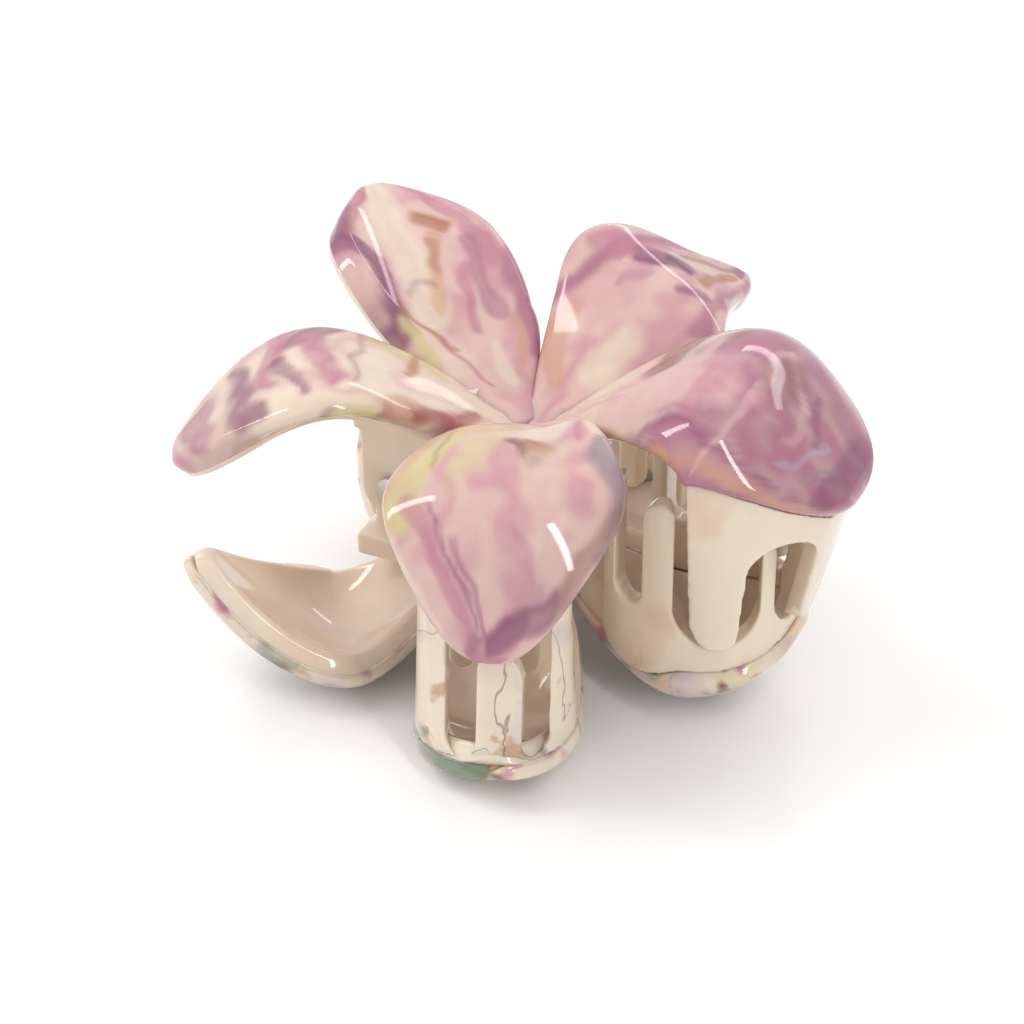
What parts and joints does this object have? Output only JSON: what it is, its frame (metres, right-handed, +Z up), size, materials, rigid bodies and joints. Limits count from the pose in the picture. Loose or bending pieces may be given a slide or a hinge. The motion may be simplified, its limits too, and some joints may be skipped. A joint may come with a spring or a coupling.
{
  "type": "hair claw clip",
  "caption": "Double-sided flower claw clip: two hinged marbled acetate flowers with interlocking combs, sprung shut, lying on its lower flower.",
  "frame": {"origin": "on the table, under the middle of the closed clip's bounding box", "axes": "+X from the hinge to the jaws, +Y along the hinge pin towards the far handle, +Z up"},
  "size_m": [0.0766, 0.071, 0.0447],
  "materials": {
    "marbled_acetate": "polished, marbled mauve, pink and cream",
    "lower_marbled_acetate": "polished, mostly cream marbling with green, amber and mauve patches",
    "cream_acetate": "polished cream",
    "plated_steel": "polished plating",
    "clear_plastic": "natural tube",
    "spring_steel": "drawn wire"
  },
  "bodies": {
    "lower_half": {"lower_petals": "lower_marbled_acetate", "lower_liner": "cream_acetate", "lower_jaw_comb": "cream_acetate", "lower_front_comb": "cream_acetate", "lower_back_comb": "cream_acetate", "lower_hinge_block": "cream_acetate", "spring_sleeve": "clear_plastic", "torsion_spring": "spring_steel"},
    "upper_half": {"upper_petals": "marbled_acetate", "upper_liner": "cream_acetate", "upper_jaw_comb": "cream_acetate", "upper_front_comb": "cream_acetate", "upper_back_comb": "cream_acetate", "upper_hinge_block": "cream_acetate", "hinge_pin": "plated_steel", "pin_caps": "plated_steel"}
  },
  "joints": [
    {"name": "jaw_hinge", "type": "hinge", "parent": "lower_half", "child": "upper_half", "pos_m": [-0.01638, -0.00121, 0.0218], "axis": [0, -1, 0], "range_deg": [0, 16], "stiffness_Nm_per_rad": 0.15, "springref_deg": -34.38, "deforming": ["torsion_spring"]}
  ]
}
